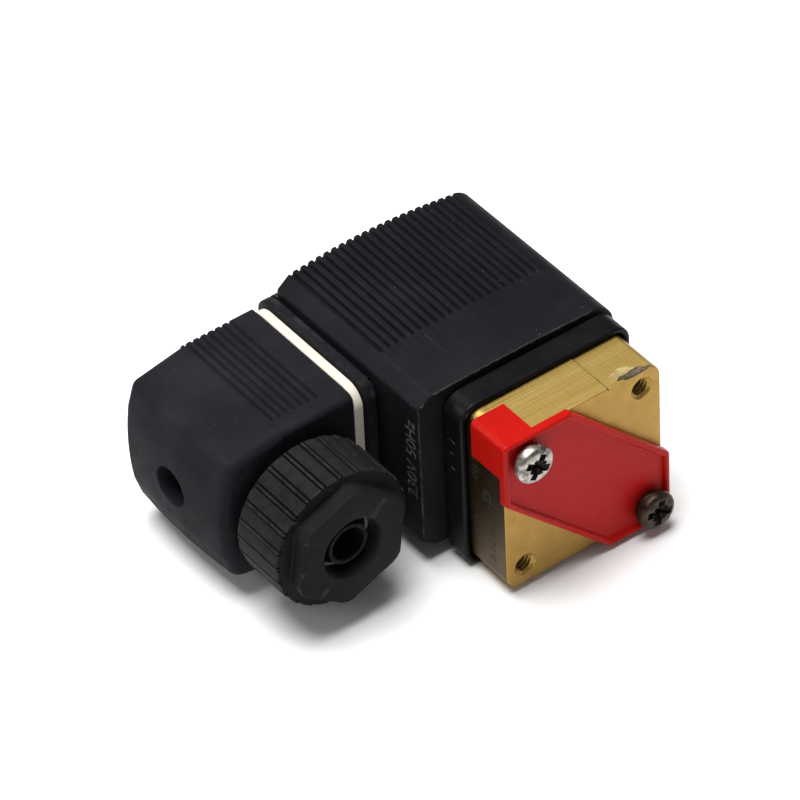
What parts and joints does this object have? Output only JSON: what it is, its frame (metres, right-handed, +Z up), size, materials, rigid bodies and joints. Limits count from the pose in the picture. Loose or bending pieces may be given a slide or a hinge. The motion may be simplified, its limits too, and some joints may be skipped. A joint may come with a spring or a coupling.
{
  "type": "flange-mounted solenoid valve with cable plug",
  "caption": "Direct-acting solenoid valve: square brass flange body with a red transport cover, ribbed coil, sealed cable plug and knurled cable gland.",
  "frame": {"origin": "under the middle of the whole object, on the surface that it lies on", "axes": "+Z up with the valve lying on its side; the flange face looks along -Y, the coil nut along +Y, and the cable plug sits on the -X side"},
  "size_m": [0.0714, 0.064, 0.0367],
  "materials": {
    "housing": "fine matt moulded grain",
    "collar": "smooth satin moulding",
    "gland": "matt, slightly greyed",
    "rubber": "matt",
    "gasket": "matt cream",
    "cover": "glossy rim, satin middle",
    "brass": "milled",
    "steel": "bright plated",
    "dark_steel": "tarnished",
    "copper": "bright",
    "insert": "matt"
  },
  "bodies": {
    "valve": {"valve_body": "brass", "seat_nozzle": "steel", "inlet_o_ring": "rubber", "outlet_o_ring": "rubber", "body_collar": "collar", "tube_o_ring": "rubber", "core_tube": "steel", "fixed_core": "steel", "shading_ring": "copper", "coil_housing": "housing", "magnet_yoke": "dark_steel", "coil_bobbin": "insert", "coil_winding": "copper", "coil_tab_1": "brass", "coil_tab_2": "brass", "earth_tab": "brass", "flange_cover": "cover"},
    "armature": {"plunger": "steel", "lower_seal": "rubber", "upper_seal": "rubber", "plunger_spring": "steel"},
    "nut_washer": {"coil_washer": "steel"},
    "rear_nut": {"coil_nut": "steel"},
    "cable_plug": {"plug_gasket": "gasket", "plug_housing": "housing", "plug_insert": "insert", "contact_1": "brass", "contact_2": "brass", "contact_3": "brass", "contact_screw_1": "steel", "contact_screw_2": "steel", "contact_screw_3": "steel", "gland_seal": "rubber"},
    "centre_screw_seal": {"plug_screw_seal": "rubber"},
    "centre_screw": {"plug_screw": "steel"},
    "pressure_ring": {"gland_ring": "steel"},
    "gland": {"gland_nut": "gland"},
    "washer_1": {"lock_washer_1": "steel"},
    "screw_1": {"cover_screw_1": "steel"},
    "washer_2": {"lock_washer_2": "dark_steel"},
    "screw_2": {"cover_screw_2": "dark_steel"}
  },
  "joints": [
    {"name": "plunger_travel", "type": "slide", "parent": "valve", "child": "armature", "axis": [0, 1, 0], "range_m": [0, 0.0015], "stiffness_N_per_m": 400, "springref_m": -0.01, "deforming": ["plunger_spring"]},
    {"name": "plug_release", "type": "slide", "parent": "valve", "child": "cable_plug", "axis": [-1, 0, 0], "range_m": [0, 0.01]},
    {"name": "centre_screw_lift", "type": "slide", "parent": "cable_plug", "child": "centre_screw_seal", "axis": [-1, 0, 0], "range_m": [0, 0.004]},
    {"name": "centre_screw_turn", "type": "hinge", "parent": "centre_screw_seal", "child": "centre_screw", "pos_m": [0, 0.0128, 0.0173], "axis": [-1, 0, 0], "range_deg": [0, 2881]},
    {"name": "gland_lift", "type": "slide", "parent": "cable_plug", "child": "pressure_ring", "axis": [0, -1, 0], "range_m": [0, 0.006]},
    {"name": "gland_turn", "type": "hinge", "parent": "pressure_ring", "child": "gland", "pos_m": [-0.0212, 0, 0.0173], "axis": [0, -1, 0], "range_deg": [0, 1441]},
    {"name": "cover_screw_1_lift", "type": "slide", "parent": "valve", "child": "washer_1", "axis": [0, -1, 0], "range_m": [0, 0.0042]},
    {"name": "cover_screw_1_turn", "type": "hinge", "parent": "washer_1", "child": "screw_1", "pos_m": [0.0055, 0, 0.0295], "axis": [0, -1, 0], "range_deg": [0, 2161]},
    {"name": "cover_screw_2_lift", "type": "slide", "parent": "valve", "child": "washer_2", "axis": [0, -1, 0], "range_m": [0, 0.0042]},
    {"name": "cover_screw_2_turn", "type": "hinge", "parent": "washer_2", "child": "screw_2", "pos_m": [0.0299, 0, 0.0051], "axis": [0, -1, 0], "range_deg": [0, 2161]},
    {"name": "coil_nut_lift", "type": "slide", "parent": "valve", "child": "nut_washer", "axis": [0, 1, 0], "range_m": [0, 0.003]},
    {"name": "coil_nut_turn", "type": "hinge", "parent": "nut_washer", "child": "rear_nut", "pos_m": [0.0177, 0, 0.0173], "axis": [0, 1, 0], "range_deg": [0, 1081]}
  ],
  "couplings": [
    {"joint": "centre_screw_turn", "follows": "centre_screw_lift", "rad_per_m": 12566},
    {"joint": "gland_turn", "follows": "gland_lift", "rad_per_m": 4188.8},
    {"joint": "cover_screw_1_turn", "follows": "cover_screw_1_lift", "rad_per_m": 8976},
    {"joint": "cover_screw_2_turn", "follows": "cover_screw_2_lift", "rad_per_m": 8976},
    {"joint": "coil_nut_turn", "follows": "coil_nut_lift", "rad_per_m": 6283.2}
  ]
}
